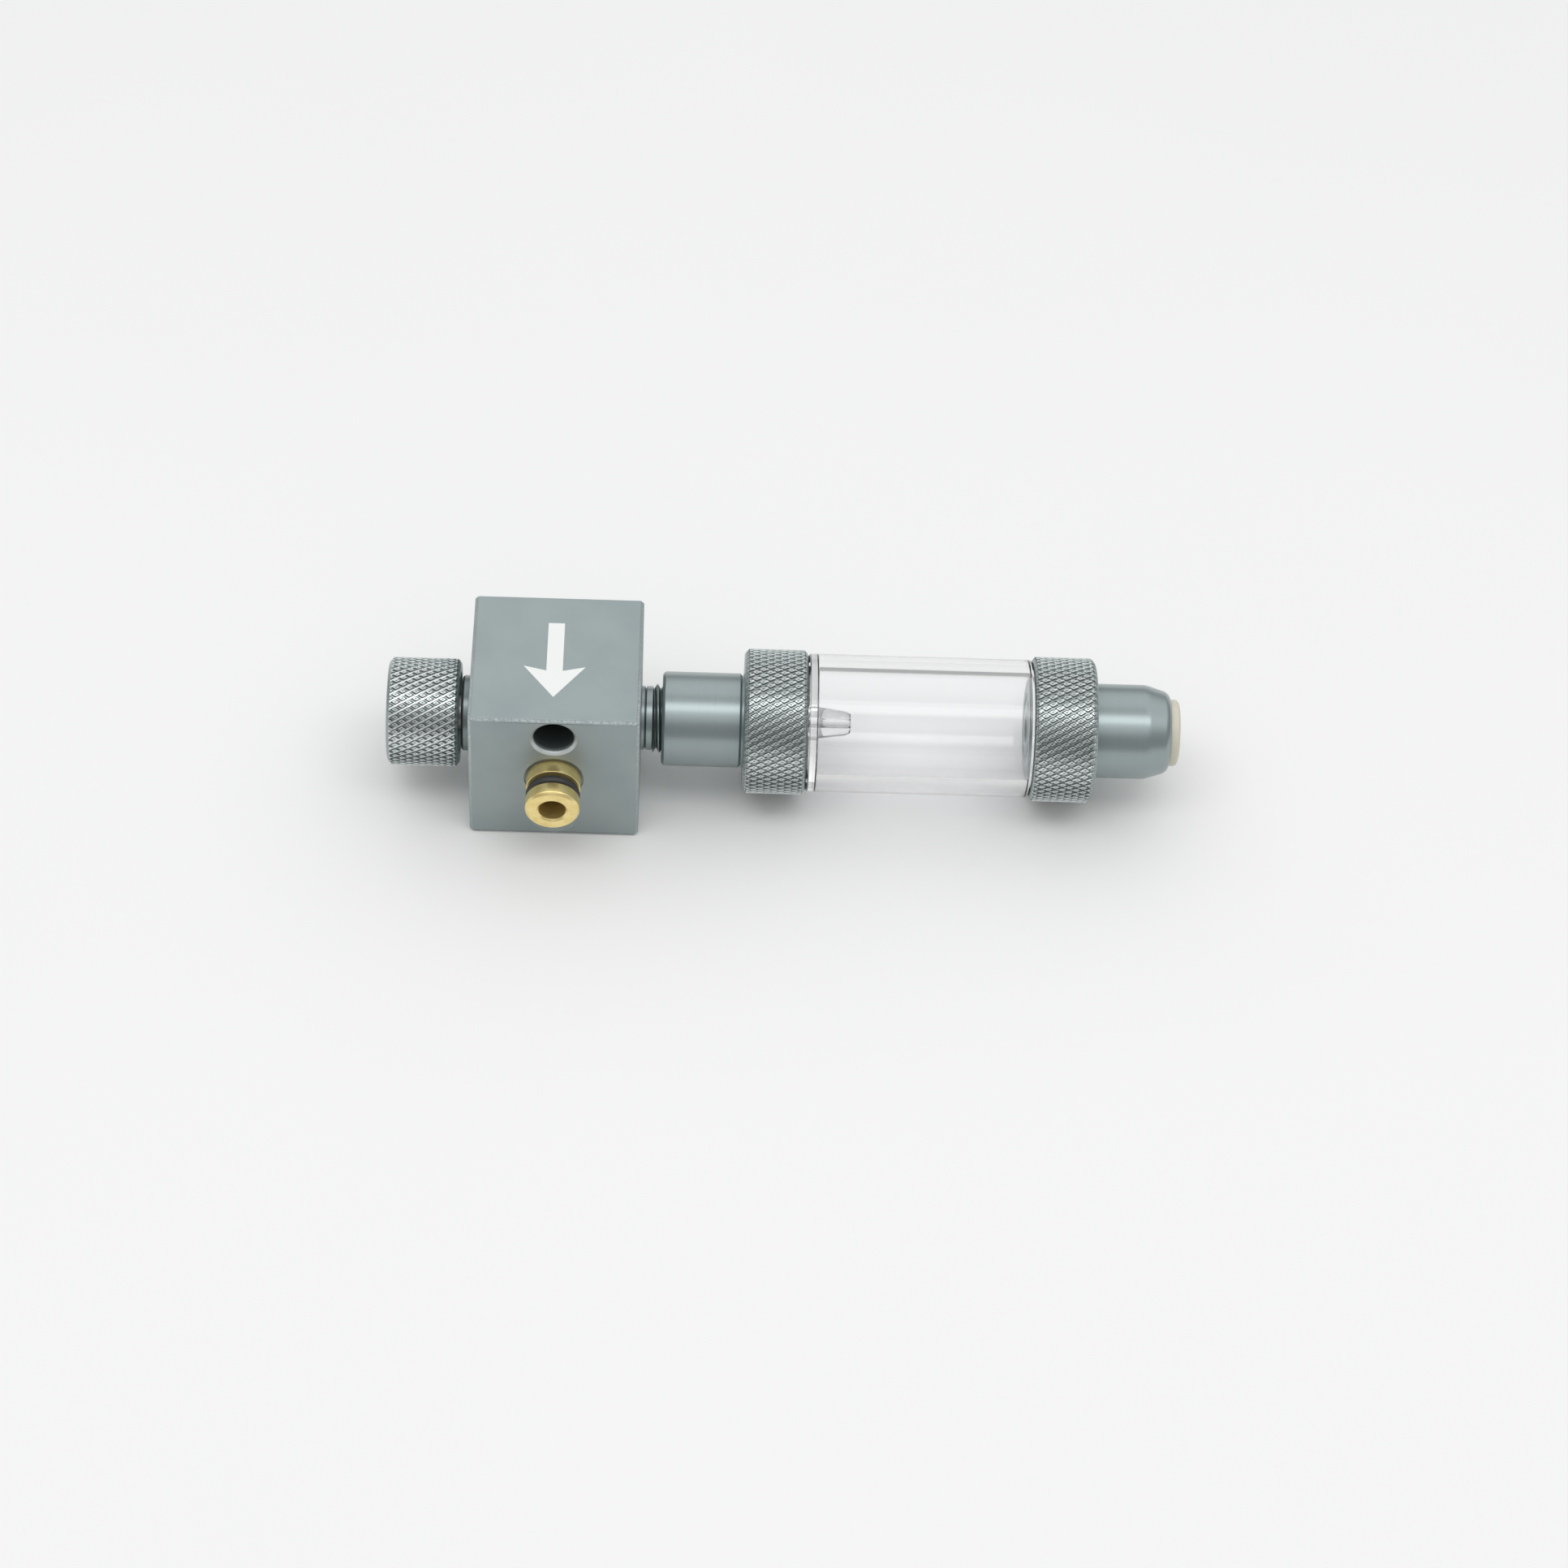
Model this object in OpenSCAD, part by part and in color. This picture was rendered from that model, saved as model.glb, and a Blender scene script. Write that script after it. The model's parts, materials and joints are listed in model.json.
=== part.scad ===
// Add-on valve module for a carbon dioxide line: a valve block with a needle
// valve on its left and a bubble counter with a push-in hose outlet on its right.
// Millimetres. The gas line runs along X at half the block's height, the coupling
// nipple faces -Y, +Z is up, and the origin is the middle of the block's base.

/* [Valve block] */
// Side of the cubic block
block_side = 25; // [24:0.5:27]
// Bevel round the block's edges
block_bevel = 0.5; // [0.3:0.1:0.8]
// Bore of the gas channel from the rear port to the nipple
channel_d = 4; // [3:0.5:4.5]

/* [Tie screws] */
// Clearance hole for a tie screw
tie_hole_d = 3.4; // [3.2:0.1:3.6]
// Counterbore for the tie screw's head
tie_head_d = 6; // [5.8:0.1:6.4]
// Depth of that counterbore
tie_head_depth = 8; // [4:0.5:12]
// Distance from the tie screw's axis to the nearer face of the block
tie_edge = 4; // [3.8:0.1:4.4]

/* [Coupling nipple] */
// Diameter of the nipple's lands
nipple_d = 8; // [7.6:0.1:8.2]
// Length of the nipple outside the block, and of its seat inside
nipple_reach = 6.4; // [6:0.1:7]
// Width of each O-ring groove in the nipple
nipple_groove = 2.1; // [1.9:0.1:2.3]

/* [Needle valve] */
// Diameter of the knurled knob
knob_d = 16; // [14.5:0.5:17]
// Length of the knurled knob
knob_len = 10.6; // [9:0.2:12]
// Gap between the knob and the block when the valve is shut
knob_gap = 1.8; // [1.7:0.1:2.4]
// Diameter of the bonnet's shoulder
bonnet_d = 11.2; // [10.8:0.2:12]
// Diameter of the needle stem
stem_d = 5; // [4.6:0.1:5.2]
// Bore of the valve seat
orifice_d = 1.6; // [1.2:0.1:2]

/* [Bubble counter] */
// Crest diameter of the thread that the counter screws on to
thread_d = 10.2; // [10:0.1:10.4]
// Diameter of the counter's base sleeve and of the outlet
sleeve_d = 14; // [13.6:0.2:14.4]
// Diameter of the two knurled collars
collar_d = 21.5; // [21:0.5:23]
// Length of each knurled collar
collar_len = 9.3; // [9:0.1:10]
// Outer diameter of the clear chamber
chamber_d = 20.5; // [20:0.5:21]
// Inner diameter of the clear chamber
chamber_bore = 15.5; // [15:0.1:15.6]
// Length of the clear chamber seen between the collars
chamber_window = 33.4; // [30:0.2:40]

/* [Hose outlet] */
// Outer diameter of the hose that the outlet takes
hose_d = 6; // [6:0.1:6.1]
// Length of the outlet's straight part outside the collar
outlet_straight = 7.7; // [7:0.1:9]
// How far the release collet stands out
collet_proud = 1.4; // [1.2:0.1:1.6]

/* [Hidden] */
$fn = 96;

// Colours
anodised = [0.55, 0.6, 0.61];
brass_gold = [0.76, 0.62, 0.34];
rubber_black = [0.12, 0.12, 0.12];
steel_grey = [0.72, 0.72, 0.7];
clear_acrylic = [0.9, 0.92, 0.93, 0.4];
ptfe_white = [0.93, 0.93, 0.9];
collet_ivory = [0.82, 0.8, 0.72];

// Small distances
half = block_side / 2;
axis_z = half;
slip = 0.05;          // radial clearance of a running fit
rest_gap = 0.05;      // gap between faces that touch
cut = 0.1;            // how far a cutter runs past a face

// Needle valve, along X from the block's middle
knob_face = -half - knob_gap;
knob_end = knob_face - knob_len;
bonnet_thread_d = 10;
bonnet_shoulder = 1.5;
bonnet_inner = -5.2;
seat_face = 3;
seat_len = 4;
seat_d = 7.4;
valve_room_d = 8;
stem_neck_d = 3;
stem_end = bonnet_inner + 0.4;
cone_len = 3.6;
stem_groove_d = 3.5;
stem_groove_w = 1.3;
stem_groove_x = [-8.6, -6.7];
knob_bore_depth = 7.4;
set_screw_d = 3;
set_screw_x = knob_end + 5.3;

// Coupling nipple: the half inside the block, and the groove outside
nipple_root = 5.4;
nipple_root_d = 7;
nipple_groove_r = 2.5;

// Threaded connector between the block and the counter
neck_d = 9.5;
neck_len = 1.6;
port_d = 8;
port_depth = 5;
thread_pitch = 1;
thread_depth = 0.55;
thread_start = half + neck_len;
thread_end = half + 7;
nose_d = 7.2;
nose_end = half + 10.2;
gas_bore = 2.5;

// Counter base, with the check valve inside
base_start = half + 3.1;
base_cup_end = half + 8.2;
base_seal_x = half + 9.4;
nose_room_end = half + 11.5;
check_wall_end = nose_room_end + 1.3;
check_room_d = 6.6;
collar_start = 27.65;
collar_wall = 1.95;
collar_end = collar_start + collar_len;
flange_start = 30.15;
flange_len = 1.5;
flange_d = 16.8;
chamber_start = flange_start + flange_len + rest_gap;
spigot_d = 11;
spigot_end = chamber_start + 4.4;
retainer_start = 31.3;
retainer_len = 2.2;
retainer_d = 7.6;
poppet_face = check_wall_end;
poppet_len = 2.1;
poppet_d = 5.4;
spring_start = poppet_face + poppet_len;
spring_end = retainer_start - rest_gap;
spring_turns = 3;
spring_wire = 0.35;
spring_d = 4.2;

// Clear chamber
chamber_thread_d = 18;
chamber_floor = collar_end + 1.45;
chamber_mouth = collar_end + chamber_window;
jet_len = 5.1;
jet_root_d = 4.8;
jet_tip_d = 3.6;
jet_shank_d = 3.6;

// Outlet
upper_start = chamber_mouth;
upper_end = upper_start + collar_len;
outlet_flange_end = upper_end - 2.5;
outlet_flange_start = outlet_flange_end - flange_len;
chamber_end = outlet_flange_start - rest_gap;
plug_start = upper_start - 0.7;
plug_d = chamber_bore - 0.2;
outlet_cone_start = upper_end + outlet_straight;
outlet_cone_len = 2.9;
outlet_cone_d = 12.2;
outlet_lip = 0.7;
outlet_end = outlet_cone_start + outlet_cone_len + outlet_lip;
collet_d = 9.9;
collet_room_d = 10.1;
collet_travel = 1;
collet_end = outlet_end + collet_proud;
collet_head_start = outlet_end - 0.9;
collet_barrel_d = 7.7;
collet_start = outlet_end - 5.8;
hose_stop = outlet_end - 13;
hose_bore = hose_d + 0.1;
seal_x = outlet_end - 9.2;
grab_x = outlet_end - 7.15;
grab_room_d = 10;

// Turns a profile of [x, radius] points into a solid round the gas line.
module turned(profile) {
  translate([0, 0, axis_z]) rotate([0, 90, 0])
    rotate_extrude() polygon([for (p = profile) [p[1], p[0]]]);
}

// A plain cylinder on the gas line between two x positions.
module round_x(x0, x1, d) {
  translate([x0, 0, axis_z]) rotate([0, 90, 0]) cylinder(h = x1 - x0, d = d);
}

// An O-ring on the gas line.
module ring_x(x, inner_d, wire) {
  translate([x, 0, axis_z]) rotate([0, 90, 0])
    rotate_extrude() translate([inner_d / 2 + wire / 2, 0]) circle(d = wire, $fn = 32);
}

// An O-ring on the line of the coupling nipple.
module ring_y(y, inner_d, wire) {
  translate([0, y, axis_z]) rotate([90, 0, 0])
    rotate_extrude() translate([inner_d / 2 + wire / 2, 0]) circle(d = wire, $fn = 32);
}

// A cylinder along Y between two y positions.
module round_y(y0, y1, d, z = axis_z) {
  translate([0, y0, z]) rotate([-90, 0, 0]) cylinder(h = y1 - y0, d = d);
}

// A cube standing on z = 0, with its twelve edges cut back by bars turned 45 degrees.
module bevelled_cube(side, bevel) {
  bar = bevel * sqrt(2);
  difference() {
    translate([-side / 2, -side / 2, 0]) cube(side);
    for (turn = [[0, 0, 0], [90, 0, 0], [0, 90, 0]])
      translate([0, 0, side / 2]) rotate(turn)
        for (a = [-1, 1], b = [-1, 1])
          translate([a * side / 2, b * side / 2, 0]) rotate([0, 0, 45])
            cube([bar, bar, side + 2], center = true);
  }
}

module valve_block() {
  color(anodised) difference() {
    bevelled_cube(block_side, block_bevel);
    // bonnet thread, valve room, seat pocket and outlet port on the gas line
    round_x(-half - cut, bonnet_inner, bonnet_thread_d + 2 * slip);
    round_x(bonnet_inner - cut, seat_face, valve_room_d);
    round_x(seat_face - cut, seat_face + seat_len + rest_gap, seat_d + 2 * slip);
    round_x(seat_face, half, gas_bore);
    round_x(half - port_depth - 0.3, half + cut, port_d + 2 * slip);
    // through channel with a nipple seat at each end
    round_y(-half, half, channel_d);
    round_y(-half - cut, -half + nipple_root + 0.3, nipple_root_d + 2 * slip);
    round_y(-half - cut, -half + 0.35, nipple_d + 0.7);
    round_y(half - nipple_reach - 0.3, half + cut, nipple_d + 2 * slip);
    // tie screws
    for (z = [tie_edge, block_side - tie_edge]) {
      round_y(-half - cut, half + cut, tie_hole_d, z);
      round_y(-half - cut, -half + tie_head_depth, tie_head_d, z);
      translate([0, -half - cut, z]) rotate([-90, 0, 0])
        cylinder(h = 0.4 + cut, d1 = tie_head_d + 1, d2 = tie_head_d);
    }
  }
}

// Heights in its profile run outwards from the block's front face.
module coupling_nipple() {
  land = (nipple_reach - nipple_groove) / 2;
  r = nipple_d / 2;
  root_r = nipple_root_d / 2;
  color(brass_gold) translate([0, -half, axis_z]) rotate([90, 0, 0])
    rotate_extrude() polygon([
      [channel_d / 2, -nipple_root], [root_r - 0.3, -nipple_root],
      [root_r, -nipple_root + 0.3], [root_r, -nipple_root + 1.6],
      [root_r - 0.8, -nipple_root + 1.6], [root_r - 0.8, -nipple_root + 2.7],
      [root_r, -nipple_root + 2.7], [root_r, rest_gap], [r, rest_gap],
      [r, land], [nipple_groove_r, land], [nipple_groove_r, land + nipple_groove],
      [r, land + nipple_groove], [r, nipple_reach - 0.4], [r - 0.4, nipple_reach],
      [channel_d / 2 + 0.3, nipple_reach], [channel_d / 2, nipple_reach - 0.3]
    ]);
}

module nipple_oring_front() {
  wire = nipple_d / 2 - nipple_groove_r - 0.04;
  color(rubber_black) ring_y(-half - nipple_reach / 2, 2 * nipple_groove_r + 0.04, wire);
}

module nipple_oring_rear() {
  color(rubber_black) ring_y(-half + nipple_root - 2.15, nipple_root_d - 1.55, 0.78);
}

module bonnet() {
  r = bonnet_d / 2;
  bore = stem_d / 2 + slip;
  x0 = -half - bonnet_shoulder;
  x1 = -half - rest_gap;
  groove = bonnet_thread_d / 2 - 0.9;
  color(anodised) turned([
    [x0, bore], [x0, r - 0.3], [x0 + 0.3, r], [x1, r], [x1, groove], [x1 + 1.25, groove],
    [x1 + 1.25, bonnet_thread_d / 2], [bonnet_inner - rest_gap, bonnet_thread_d / 2],
    [bonnet_inner - rest_gap, bore]
  ]);
}

module bonnet_oring() {
  color(rubber_black) ring_x(-half + 0.6, bonnet_thread_d - 1.7, 0.85);
}

module valve_seat() {
  r = seat_d / 2;
  x0 = seat_face;
  x1 = seat_face + seat_len;
  color(brass_gold) turned([
    [x0, orifice_d / 2], [x0, r], [x0 + 1.3, r], [x0 + 1.3, r - 0.8], [x0 + 2.4, r - 0.8],
    [x0 + 2.4, r], [x1, r], [x1, gas_bore / 2], [x0 + 1.6, gas_bore / 2],
    [x0 + 1.6, orifice_d / 2]
  ]);
}

module seat_oring() {
  color(rubber_black) ring_x(seat_face + 1.85, seat_d - 1.55, 0.78);
}

module needle_knob() {
  r = knob_d / 2;
  x0 = knob_end;
  x1 = knob_face;
  skirt = x1 - 0.5;
  color(anodised) difference() {
    turned([
      [x0, 0], [x0, r - 0.5], [x0 + 0.5, r], [x1 - 0.5, r], [x1, r - 0.5],
      [x1, bonnet_d / 2 + 0.5], [skirt, bonnet_d / 2 + 0.5], [skirt, stem_d / 2],
      [x1 - knob_bore_depth, stem_d / 2], [x1 - knob_bore_depth, 0]
    ]);
    translate([set_screw_x, 0, axis_z - r - cut]) cylinder(h = r + cut, d = set_screw_d);
  }
}

// Stands in the knob's underside, with its hexagon socket outwards.
module knob_set_screw() {
  length = 4.6;
  z0 = axis_z - stem_d / 2 + 0.3 - length;
  color(steel_grey) translate([set_screw_x, 0, z0]) difference() {
    cylinder(h = length, d = set_screw_d);
    translate([0, 0, -cut]) cylinder(h = 1.6 + cut, d = 1.7, $fn = 6);
  }
}

module needle_stem() {
  r = stem_d / 2;
  groove = stem_groove_d / 2;
  a = stem_groove_x[0];
  b = stem_groove_x[1];
  w = stem_groove_w / 2;
  tip = seat_face + 1.25;
  color(steel_grey) difference() {
    turned([
      [knob_face - knob_bore_depth + rest_gap, 0], [knob_face - knob_bore_depth + rest_gap, r],
      [a - w, r], [a - w, groove], [a + w, groove], [a + w, r],
      [b - w, r], [b - w, groove], [b + w, groove], [b + w, r],
      [stem_end, r], [stem_end, stem_neck_d / 2], [tip - cone_len, stem_neck_d / 2],
      [tip, 0.35], [tip, 0]
    ]);
    // flat that the set screw bears on
    translate([set_screw_x - 1.8, -r, axis_z - r - 0.65]) cube([3.6, 2 * r, 1]);
  }
}

module stem_orings() {
  color(rubber_black) for (x = stem_groove_x) ring_x(x, stem_groove_d + 0.06, 0.72);
}

module threaded_connector() {
  neck = neck_d / 2;
  x0 = half + rest_gap;
  crest = thread_d / 2;
  root = crest - thread_depth;
  starts = [for (x = [thread_start + 0.15 : thread_pitch : thread_end - thread_pitch]) x];
  color(anodised) turned(concat(
    [
      [half - port_depth, gas_bore / 2], [half - port_depth, port_d / 2],
      [half - 1.25, port_d / 2], [half - 1.25, port_d / 2 - 0.8], [x0, port_d / 2 - 0.8],
      [x0, neck], [x0 + 0.45, neck], [x0 + 0.55, neck - 0.25],
      [x0 + 0.65, neck - 0.25], [x0 + 0.75, neck], [thread_start - 0.15, neck],
      [thread_start - 0.05, root]
    ],
    [for (x = starts, k = [0 : 3])
      [x + [0, 0.4, 0.5, 0.9][k], [root, crest, crest, root][k]]],
    [
      [thread_end, root], [thread_end, nose_d / 2], [nose_end - 0.3, nose_d / 2],
      [nose_end, nose_d / 2 - 0.3], [nose_end, gas_bore / 2]
    ]
  ));
}

module connector_oring() {
  color(rubber_black) ring_x(half - 0.62, port_d - 1.55, 0.78);
}

module counter_base() {
  r = sleeve_d / 2;
  cup = thread_d / 2 + slip;
  nose = nose_d / 2 + slip;
  groove = collar_start - 0.3;
  color(anodised) turned([
    [base_start, cup], [base_start, r - 0.4], [base_start + 0.4, r],
    [groove - 0.25, r], [groove, r - 0.35], [groove + 0.15, r - 0.35], [groove + 0.15, r],
    [flange_start, r], [flange_start, flange_d / 2], [flange_start + flange_len, flange_d / 2],
    [flange_start + flange_len, spigot_d / 2], [spigot_end - 3, spigot_d / 2],
    [spigot_end - 3, spigot_d / 2 - 0.95], [spigot_end - 1.3, spigot_d / 2 - 0.95],
    [spigot_end - 1.3, spigot_d / 2], [spigot_end, spigot_d / 2], [spigot_end, 2.5],
    [retainer_start + retainer_len + rest_gap, 2.5],
    [retainer_start + retainer_len + rest_gap, retainer_d / 2 + slip],
    [retainer_start - 0.02, retainer_d / 2 + slip],
    [retainer_start - 0.02, check_room_d / 2], [check_wall_end, check_room_d / 2],
    [check_wall_end, gas_bore / 2], [nose_room_end, gas_bore / 2], [nose_room_end, nose],
    [base_seal_x + 0.75, nose], [base_seal_x + 0.75, nose + 1.05],
    [base_seal_x - 0.75, nose + 1.05], [base_seal_x - 0.75, nose],
    [base_cup_end, nose], [base_cup_end, cup]
  ]);
}

module base_oring() {
  color(rubber_black) ring_x(base_seal_x, nose_d + 0.04, 1.03);
}

module check_poppet() {
  x0 = poppet_face + 0.15;
  x1 = poppet_face + poppet_len;
  r = poppet_d / 2;
  color(brass_gold) turned([
    [x0, 0], [x0, r - 1.1], [x0 + 0.5, r - 1.1], [x0 + 0.5, r], [x1, r],
    [x1, 1.4], [x1 + 1.4, 1.4], [x1 + 1.4, 0]
  ]);
}

module poppet_oring() {
  color(rubber_black) ring_x(poppet_face + 0.37, poppet_d - 2.16, 0.55);
}

// Wire spring drawn as a chain of short rods round the gas line.
module check_spring() {
  steps = 8;
  count = spring_turns * steps;
  rise = (spring_end - spring_start - spring_wire) / count;
  r = (spring_d - spring_wire) / 2;
  lean = atan(rise / (2 * PI * r / steps));
  color(steel_grey) for (i = [0 : count - 1])
    translate([spring_start + spring_wire / 2 + (i + 0.5) * rise, 0, axis_z])
      rotate([i * 360 / steps, 0, 0]) translate([0, 0, r]) rotate([0, 0, lean])
        rotate([90, 0, 0])
          cylinder(h = 2 * PI * r / steps + 0.06, d = spring_wire, center = true, $fn = 6);
}

module spring_retainer() {
  color(brass_gold) turned([
    [retainer_start, 1.6], [retainer_start, retainer_d / 2],
    [retainer_start + retainer_len, retainer_d / 2], [retainer_start + retainer_len, 1.6]
  ]);
}

module base_tube_oring() {
  color(rubber_black) ring_x(spigot_end - 2.15, spigot_d - 1.86, 0.93);
}

module bubble_jet() {
  x0 = spigot_end + 0.6;
  x1 = chamber_floor + rest_gap;
  color(clear_acrylic) turned([
    [x0, 0.5], [x0, jet_shank_d / 2], [x1, jet_shank_d / 2], [x1, jet_root_d / 2],
    [x1 + jet_len - 0.8, jet_tip_d / 2], [x1 + jet_len, jet_tip_d / 2 - 0.35],
    [x1 + jet_len, 0.5]
  ]);
}

module bubble_chamber() {
  r = chamber_d / 2;
  thread = chamber_thread_d / 2;
  bore = chamber_bore / 2;
  socket = spigot_d / 2 + slip;
  color(clear_acrylic) turned([
    [chamber_start, socket], [chamber_start, thread], [collar_end + rest_gap, thread],
    [collar_end + rest_gap, r - 0.35], [collar_end + rest_gap + 0.35, r],
    [chamber_mouth - 0.4, r], [chamber_mouth - rest_gap, r - 0.35],
    [chamber_mouth - rest_gap, thread], [chamber_end, thread], [chamber_end, bore],
    [chamber_floor, bore], [chamber_floor, jet_shank_d / 2 + 0.01],
    [spigot_end + 0.5, jet_shank_d / 2 + 0.01], [spigot_end + 0.5, socket]
  ]);
}

// Union collar: a ring with a wall at its back and a threaded mouth.
// dir is 1 when the mouth faces +X and -1 when it faces -X.
module union_collar(back, dir) {
  r = collar_d / 2;
  inner = chamber_thread_d / 2 + 0.08;
  wall = sleeve_d / 2 + slip + 0.01;
  mouth = back + dir * collar_len;
  turned([
    [back, wall], [back, r - 0.7], [back + dir * 0.7, r], [mouth - dir * 0.5, r],
    [mouth, r - 0.5], [mouth, inner], [back + dir * collar_wall, inner],
    [back + dir * collar_wall, wall]
  ]);
}

// Slip ring between a collar's wall and the flange it pulls on.
module slip_ring(x0, x1) {
  turned([
    [x0, sleeve_d / 2 + 0.08], [x0, flange_d / 2], [x1, flange_d / 2],
    [x1, sleeve_d / 2 + 0.08]
  ]);
}

module lower_collar() {
  color(anodised) union_collar(collar_start, 1);
}

module lower_slip_ring() {
  color(ptfe_white)
    slip_ring(collar_start + collar_wall + rest_gap, flange_start - rest_gap);
}

module upper_collar() {
  color(anodised) union_collar(upper_end, -1);
}

module upper_slip_ring() {
  color(ptfe_white)
    slip_ring(outlet_flange_end + rest_gap, upper_end - collar_wall - rest_gap);
}

module outlet_oring() {
  color(rubber_black) ring_x(plug_start + 2.45, plug_d - 2.26, 1.13);
}

module outlet_body() {
  r = sleeve_d / 2;
  plug = plug_d / 2;
  lip = collet_room_d / 2;
  x_seal = seal_x + 1.1;
  x_grab = grab_x + 0.35;
  head = collet_head_start - collet_travel - rest_gap;
  color(anodised) turned([
    [plug_start, 2], [plug_start, plug], [plug_start + 1.6, plug],
    [plug_start + 1.6, plug - 1.15], [plug_start + 3.3, plug - 1.15],
    [plug_start + 3.3, plug], [outlet_flange_start, plug],
    [outlet_flange_start, flange_d / 2], [outlet_flange_end, flange_d / 2],
    [outlet_flange_end, r], [outlet_cone_start, r],
    [outlet_cone_start + outlet_cone_len, outlet_cone_d / 2],
    [outlet_end - 0.2, outlet_cone_d / 2 - 0.4], [outlet_end, lip + 0.3], [outlet_end, lip],
    [head, lip], [head, collet_barrel_d / 2 + slip],
    [x_grab + 0.6, collet_barrel_d / 2 + slip], [x_grab + 0.6, grab_room_d / 2],
    [grab_x - 0.35, grab_room_d / 2], [grab_x - 0.35, hose_bore / 2 + 0.4],
    [x_seal, hose_bore / 2 + 0.4], [x_seal, hose_bore / 2 + 1.55],
    [seal_x - 1.1, hose_bore / 2 + 1.55], [seal_x - 1.1, hose_bore / 2],
    [hose_stop, hose_bore / 2], [hose_stop, 2]
  ]);
}

module hose_seal() {
  color(rubber_black) ring_x(seal_x, hose_d - 0.1, 1.6);
}

// Toothed ring that grips the hose.
module grab_ring() {
  teeth = 8;
  color(steel_grey) difference() {
    turned([
      [grab_x - 0.15, hose_d / 2 + 0.1], [grab_x - 0.15, grab_room_d / 2 - 0.05],
      [grab_x + 0.15, grab_room_d / 2 - 0.05], [grab_x + 0.15, hose_d / 2 + 0.1]
    ]);
    for (k = [0 : teeth - 1])
      translate([grab_x, 0, axis_z]) rotate([k * 360 / teeth, 0, 0])
        translate([0, 0, hose_d / 2 + 0.6]) cube([1, 0.5, 1.8], center = true);
  }
}

module release_collet() {
  bore = hose_bore / 2;
  head = collet_d / 2;
  barrel = collet_barrel_d / 2;
  color(collet_ivory) turned([
    [collet_start, bore], [collet_start, bore + 0.4], [collet_start + 0.4, barrel],
    [collet_head_start, barrel], [collet_head_start, head], [collet_end - 0.4, head],
    [collet_end, head - 0.4], [collet_end, bore + 0.5], [collet_end - 0.5, bore]
  ]);
}

valve_block();
coupling_nipple();
nipple_oring_front();
nipple_oring_rear();
bonnet();
bonnet_oring();
valve_seat();
seat_oring();
needle_knob();
knob_set_screw();
needle_stem();
stem_orings();
threaded_connector();
connector_oring();
counter_base();
base_oring();
check_poppet();
poppet_oring();
check_spring();
spring_retainer();
base_tube_oring();
bubble_jet();
bubble_chamber();
lower_slip_ring();
lower_collar();
outlet_oring();
upper_slip_ring();
upper_collar();
outlet_body();
hose_seal();
grab_ring();
release_collet();
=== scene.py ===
import json
from math import atan2, cos, pi, radians, sin, tan

import bmesh
import bpy
from mathutils import Matrix, Vector


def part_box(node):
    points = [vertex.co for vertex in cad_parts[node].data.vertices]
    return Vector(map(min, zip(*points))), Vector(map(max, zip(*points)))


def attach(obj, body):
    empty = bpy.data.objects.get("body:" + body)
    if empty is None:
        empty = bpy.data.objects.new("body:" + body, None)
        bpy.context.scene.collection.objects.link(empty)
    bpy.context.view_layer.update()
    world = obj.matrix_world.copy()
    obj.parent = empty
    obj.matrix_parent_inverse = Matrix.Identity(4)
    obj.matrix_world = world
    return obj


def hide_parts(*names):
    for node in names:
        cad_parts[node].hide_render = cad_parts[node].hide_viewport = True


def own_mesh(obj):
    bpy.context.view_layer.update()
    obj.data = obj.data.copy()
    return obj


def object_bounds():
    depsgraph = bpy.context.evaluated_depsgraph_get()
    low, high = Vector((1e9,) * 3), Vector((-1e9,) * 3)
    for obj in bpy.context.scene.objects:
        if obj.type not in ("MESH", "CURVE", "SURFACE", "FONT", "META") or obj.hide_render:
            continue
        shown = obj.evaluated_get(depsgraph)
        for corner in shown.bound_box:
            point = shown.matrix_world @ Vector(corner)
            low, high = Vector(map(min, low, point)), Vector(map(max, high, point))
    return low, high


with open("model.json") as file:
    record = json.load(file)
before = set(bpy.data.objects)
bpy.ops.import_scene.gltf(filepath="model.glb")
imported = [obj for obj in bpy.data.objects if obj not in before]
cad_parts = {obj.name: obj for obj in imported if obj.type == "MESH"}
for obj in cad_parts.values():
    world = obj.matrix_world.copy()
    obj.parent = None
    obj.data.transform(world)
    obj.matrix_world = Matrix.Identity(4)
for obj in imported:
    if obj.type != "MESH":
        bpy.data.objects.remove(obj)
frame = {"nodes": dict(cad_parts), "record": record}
cadLow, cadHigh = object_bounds()
nodes = frame["nodes"]
print("frame loaded with", len(nodes), "CAD nodes")

mm = 0.001
alongX = Vector((1, 0, 0))
alongY = Vector((0, 1, 0))
upwards = Vector((0, 0, 1))
blockLow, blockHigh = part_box("valve_block")
halfSide = (blockHigh.x - blockLow.x) / 2 / mm
gasHeight = (blockLow.z + blockHigh.z) / 2      # the gas line runs along X at this height
gasLine = Vector((0, 0, gasHeight))


def spanX(node):                                # first and last x of a node, and its outer radius, in mm
    low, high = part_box(node)
    return low.x / mm, high.x / mm, (high.y - low.y) / 2 / mm


# camera and light

cameraLook = {"elevation": 48.75, "azimuth": -2.1, "roll": 3.2,                 # degrees
              "distance": 675.7, "lens": 104.4, "drop": 9.25}                   # mm
softbox = {"size": (1.1, 0.27), "height": 0.8, "forward": 0.185, "power": 1.75}
surround = {"horizon": 0.36, "sky": 1.08, "overhead": 0.68, "behind": 0.2, "floor": 0.88}


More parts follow.
